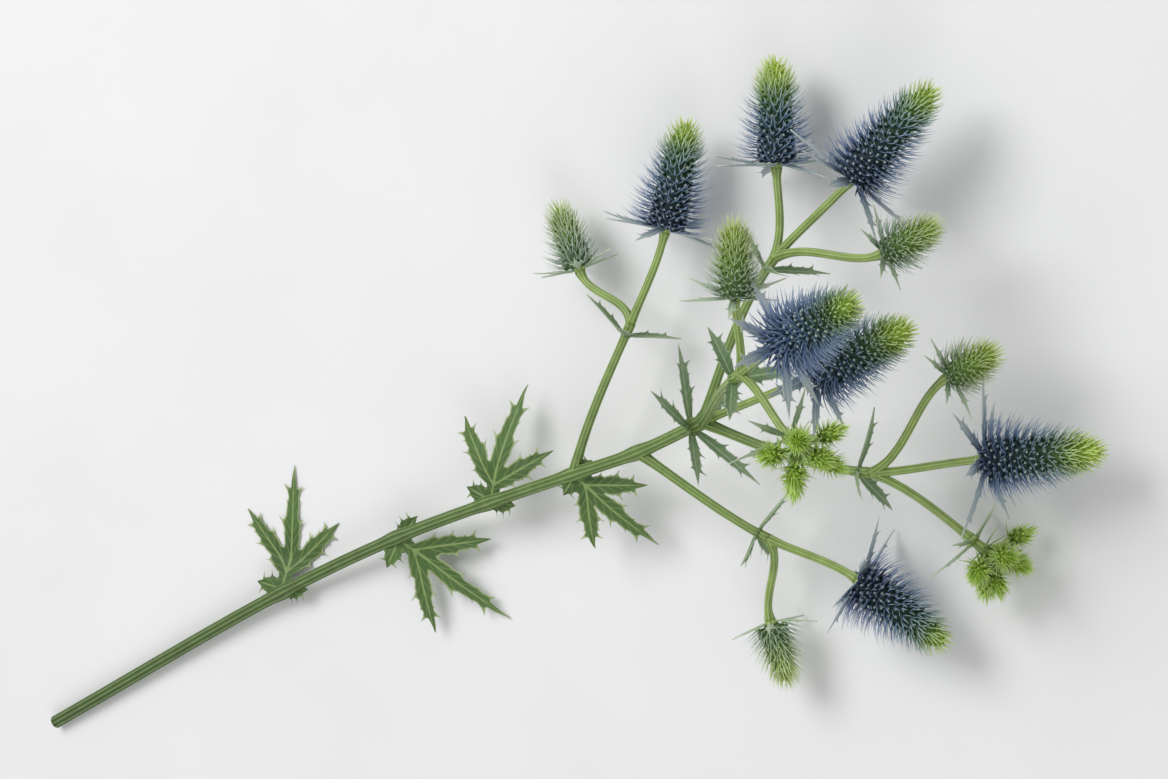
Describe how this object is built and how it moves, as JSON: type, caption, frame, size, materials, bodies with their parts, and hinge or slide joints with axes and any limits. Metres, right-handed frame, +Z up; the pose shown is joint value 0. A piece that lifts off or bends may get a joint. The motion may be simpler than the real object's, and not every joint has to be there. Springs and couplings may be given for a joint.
{
  "type": "sea holly stem",
  "caption": "Cut stem of sea holly lying on a surface: ribbed green stalk with side branches, spiny leaves, blue cone heads with lime tips over toothed bracts, green heads and lime clusters.",
  "frame": {"origin": "middle of the footprint, on the surface that the stem lies on", "axes": "+X along the stalk from the cut foot to the heads, +Z up, +Y to the left of the stalk seen from above with the heads ahead"},
  "size_m": [0.5478, 0.2484, 0.1416],
  "materials": {
    "stalk_green": "ribbed, slightly waxy fresh green stalk, paler lime towards the heads",
    "leaf_green": "tough dark green leaf blade with pale veins and spiny margin",
    "leaflet_green": "grey-green stiff leaflet with pale spiny margin",
    "bract_silver": "stiff silvery blue-green bract with pale margin and midrib",
    "floret_blue": "dense steel-blue spines over dark florets with pale bud dots",
    "floret_lime": "unripe lime-green florets and short pale spines",
    "floret_green": "young green florets and pale green spines",
    "cluster_lime": "bright lime-green very small heads"
  },
  "bodies": {
    "root": {"stem": "stalk_green", "collar_01": "bract_silver", "head_01": "floret_blue", "head_01_tip": "floret_lime", "collar_02": "bract_silver", "head_02": "floret_blue", "head_02_tip": "floret_lime", "collar_03": "bract_silver", "head_03": "floret_blue", "head_03_tip": "floret_lime", "collar_04": "bract_silver", "head_04": "floret_green", "collar_05": "bract_silver", "head_05": "floret_blue", "head_05_tip": "floret_lime", "collar_06": "bract_silver", "head_06": "floret_green", "collar_07": "bract_silver", "head_07": "floret_blue", "head_07_tip": "floret_lime", "collar_08": "bract_silver", "head_08": "floret_green", "collar_09": "bract_silver", "head_09": "floret_blue", "head_09_tip": "floret_lime", "collar_10": "bract_silver", "head_10": "floret_green", "collar_11": "bract_silver", "head_11": "floret_blue", "head_11_tip": "floret_lime", "collar_12": "bract_silver", "head_12": "floret_green", "cluster_collar_01": "bract_silver", "cluster_01": "cluster_lime", "cluster_collar_02": "bract_silver", "cluster_02": "cluster_lime", "whorl_crown": "leaflet_green", "whorl_left": "leaflet_green", "whorl_right": "leaflet_green", "whorl_top": "leaflet_green", "whorl_low_left": "leaflet_green", "whorl_low_right": "leaflet_green", "leaf_01": "leaf_green", "leaf_02": "leaf_green", "leaf_03": "leaf_green", "leaf_04": "leaf_green"}
  },
  "joints": []
}
